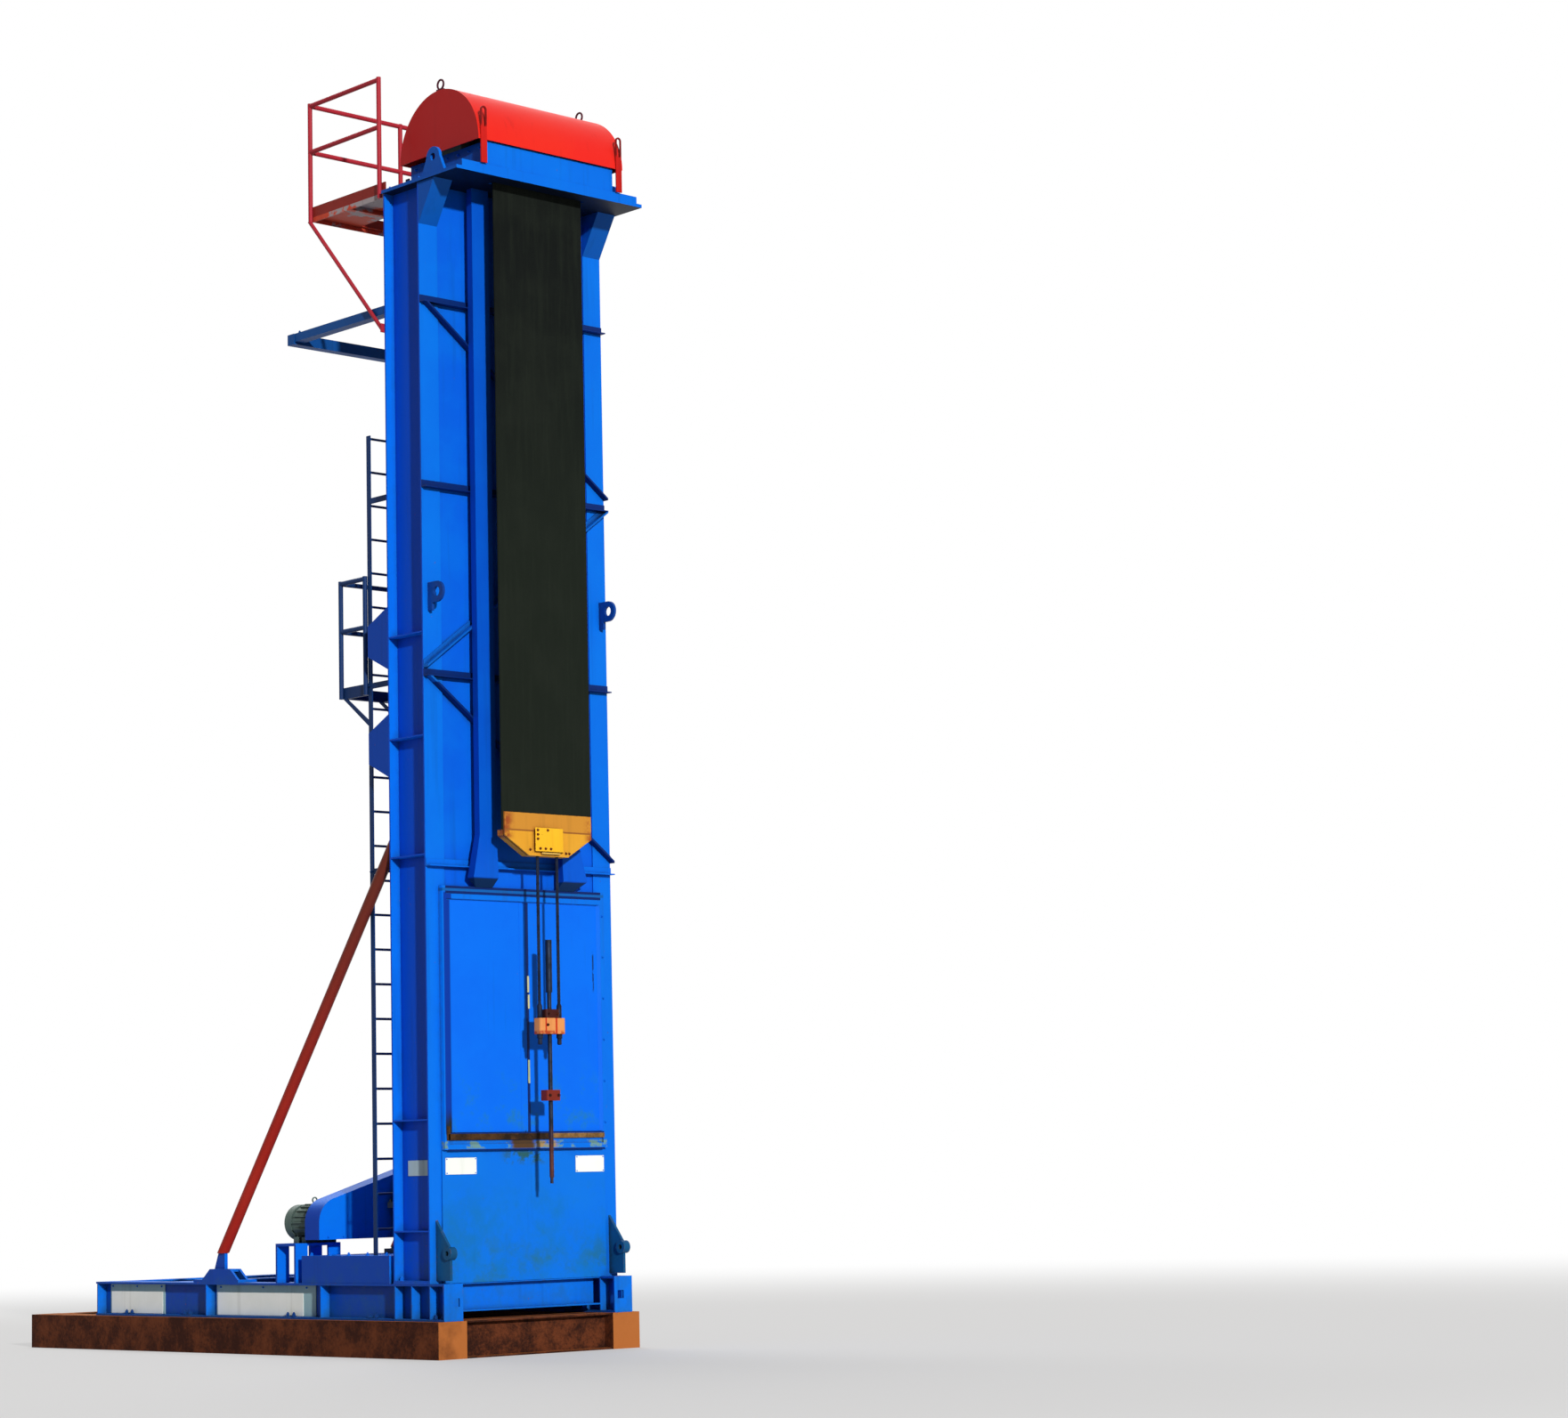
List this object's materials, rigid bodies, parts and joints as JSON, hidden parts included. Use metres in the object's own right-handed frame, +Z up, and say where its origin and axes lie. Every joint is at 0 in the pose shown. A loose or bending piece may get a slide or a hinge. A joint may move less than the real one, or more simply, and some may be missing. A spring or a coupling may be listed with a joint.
{
  "type": "tower belt pump jack",
  "caption": "Tower-type pump jack: a belt over a drum on a steel tower lifts the polished rod of a well against an inner counterweight, with ladders, platform and braces.",
  "frame": {"origin": "on the ground, on the centre line of the tower and in the middle of its depth", "axes": "+Z up; -Y is the well side, with the belt, the doors and the polished rod; +X is to the right as seen from the well"},
  "size_m": [2.2, 6.697, 11.16],
  "materials": {
    "rusty_steel": "rusted through old primer",
    "blue_paint": "gloss enamel, dirty at the joints",
    "red_paint": "weathered enamel",
    "navy_paint": "weathered enamel",
    "yellow_paint": "chipped enamel",
    "grey_paint": "weathered enamel",
    "belt_rubber": "matt",
    "bright_steel": "oily steel"
  },
  "bodies": {
    "root": {"base_rails": "rusty_steel", "base_ties": "rusty_steel", "belt_clamp": "yellow_paint", "belt_guard": "blue_paint", "brace_feet": "blue_paint", "carrier_bar": "yellow_paint", "columns": "blue_paint", "counterweight": "grey_paint", "deck_consoles": "blue_paint", "deck_plate": "blue_paint", "door_frame": "blue_paint", "door_leaves": "blue_paint", "drum": "grey_paint", "drum_bearings": "grey_paint", "front_diagonals": "blue_paint", "front_sheet": "blue_paint", "front_struts": "blue_paint", "guide_rails": "blue_paint", "hanger_ropes": "bright_steel", "hinge_plates": "blue_paint", "hood": "red_paint", "hood_latches": "red_paint", "hood_rings": "red_paint", "housing_end_walls": "blue_paint", "housing_long_walls": "blue_paint", "ladder_brackets": "navy_paint", "ladder_rungs": "navy_paint", "ladder_stiles": "navy_paint", "landing": "navy_paint", "landing_posts": "navy_paint", "landing_rails": "navy_paint", "lifting_eyes": "blue_paint", "load_belt": "belt_rubber", "lower_panel": "blue_paint", "machine_base": "blue_paint", "motor": "grey_paint", "motor_stand": "blue_paint", "platform_braces": "red_paint", "platform_posts": "red_paint", "platform_rails": "red_paint", "polished_rod": "bright_steel", "raking_braces": "red_paint", "rear_brackets": "blue_paint", "rear_diagonals": "blue_paint", "rear_frame_arms": "navy_paint", "rear_frame_bar": "navy_paint", "rear_struts": "blue_paint", "reducer": "grey_paint", "rod_clamps": "red_paint", "side_lugs": "blue_paint", "skid_beams": "blue_paint", "skid_ties": "blue_paint", "top_platform": "red_paint"}
  },
  "joints": []
}
